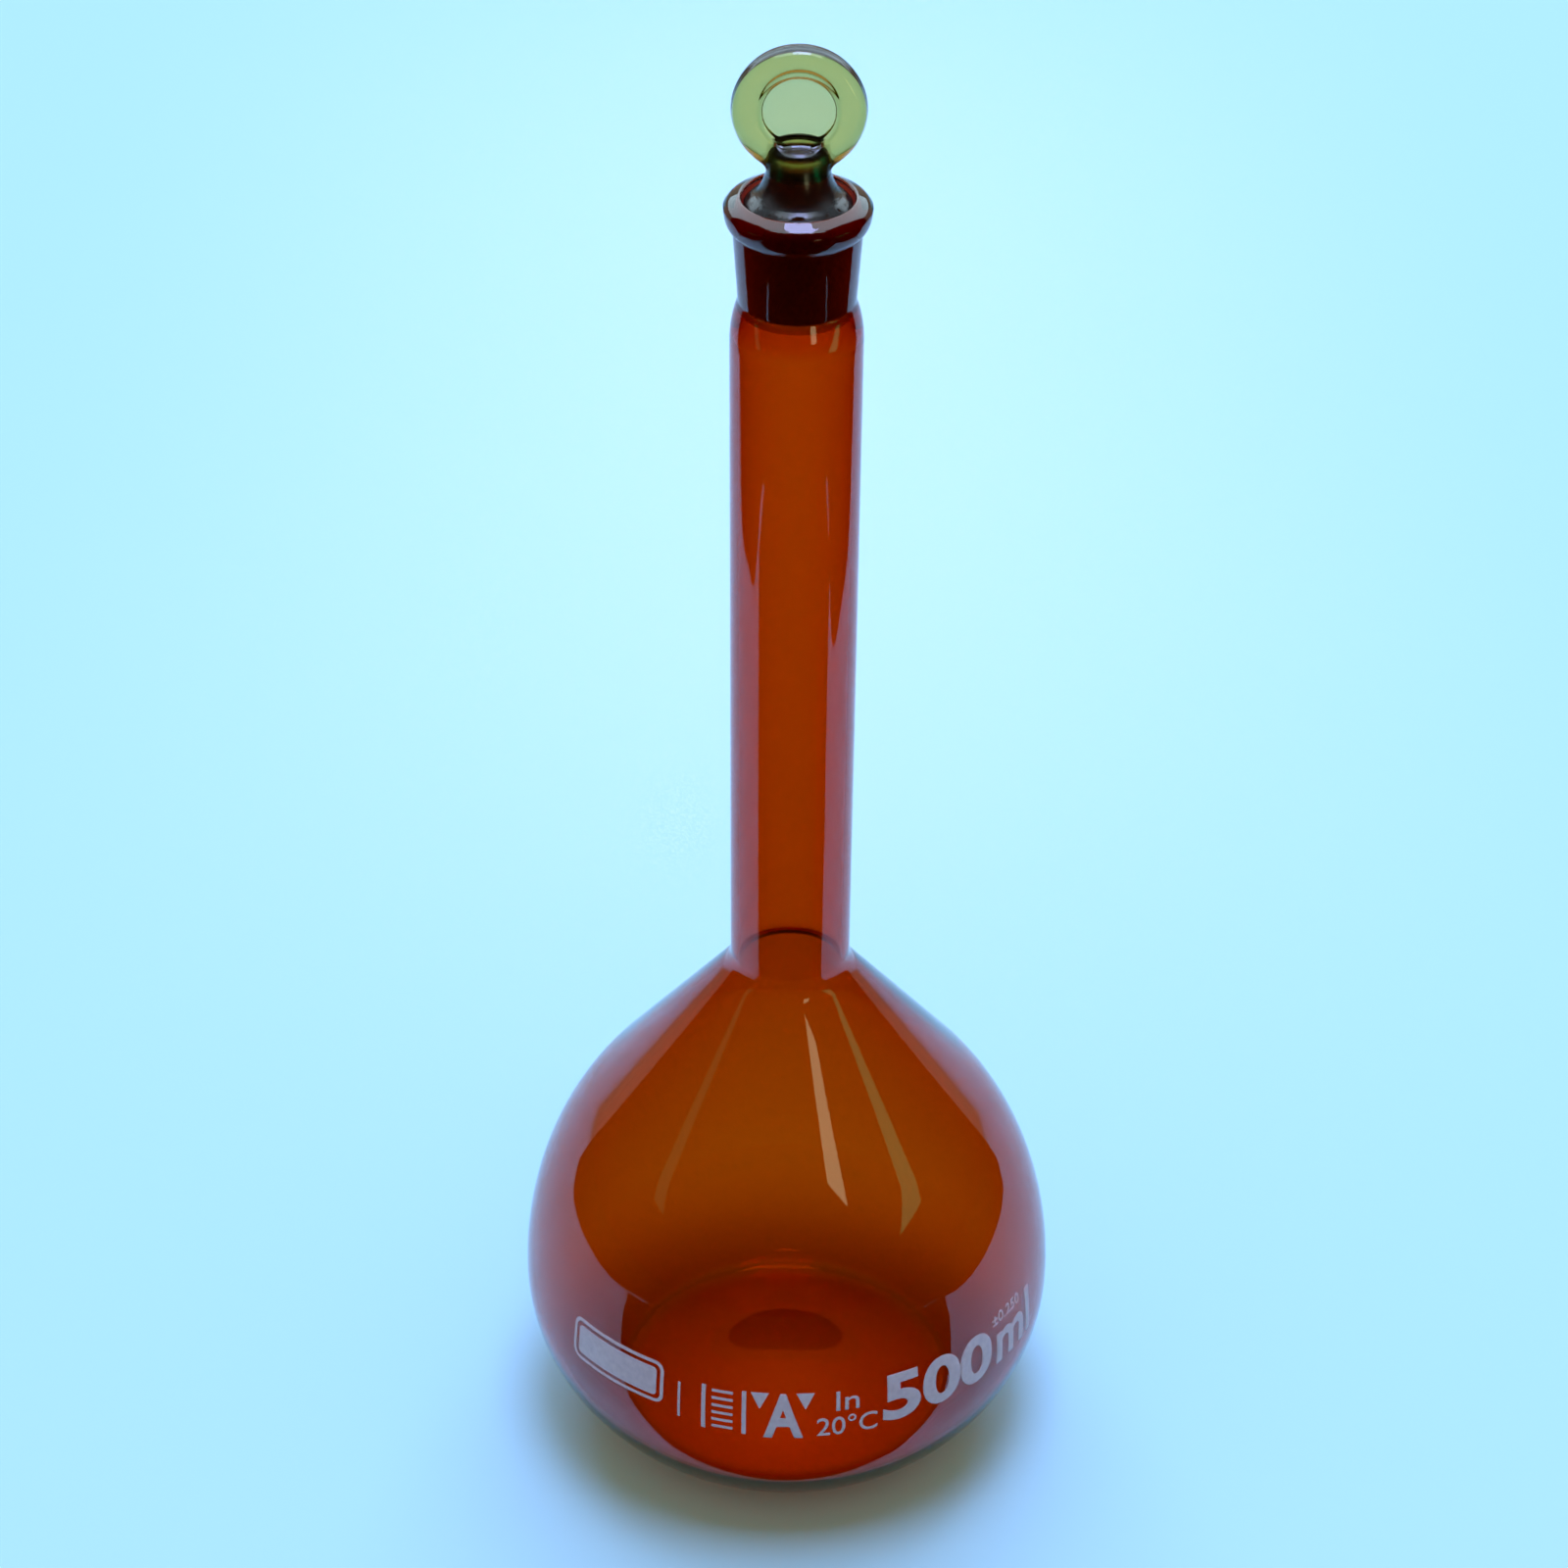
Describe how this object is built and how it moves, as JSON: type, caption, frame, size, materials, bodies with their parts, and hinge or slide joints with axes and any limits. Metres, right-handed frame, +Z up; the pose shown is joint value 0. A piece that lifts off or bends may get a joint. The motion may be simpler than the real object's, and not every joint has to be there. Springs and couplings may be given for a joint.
{
  "type": "volumetric flask",
  "caption": "Round-bottomed measuring flask with a long narrow neck, a flared ground-glass socket with a beaded rim, and a lift-out ground stopper with a flat thumb disc.",
  "frame": {"origin": "centre of the flask's base, on the surface it stands on", "axes": "+Z up along the neck; the stopper's thumb disc faces -Y and +Y"},
  "size_m": [0.1, 0.1, 0.2854],
  "materials": {
    "amber_glass": "polished",
    "olive_glass": "polished",
    "enamel_print": "fired enamel"
  },
  "bodies": {
    "flask": {"bulb": "amber_glass", "neck_tube": "amber_glass", "ground_socket": "amber_glass"},
    "stopper": {"stopper": "olive_glass"}
  },
  "joints": [
    {"name": "stopper_lift", "type": "slide", "parent": "flask", "child": "stopper", "axis": [0, 0, 1], "range_m": [0, 0.04]}
  ]
}
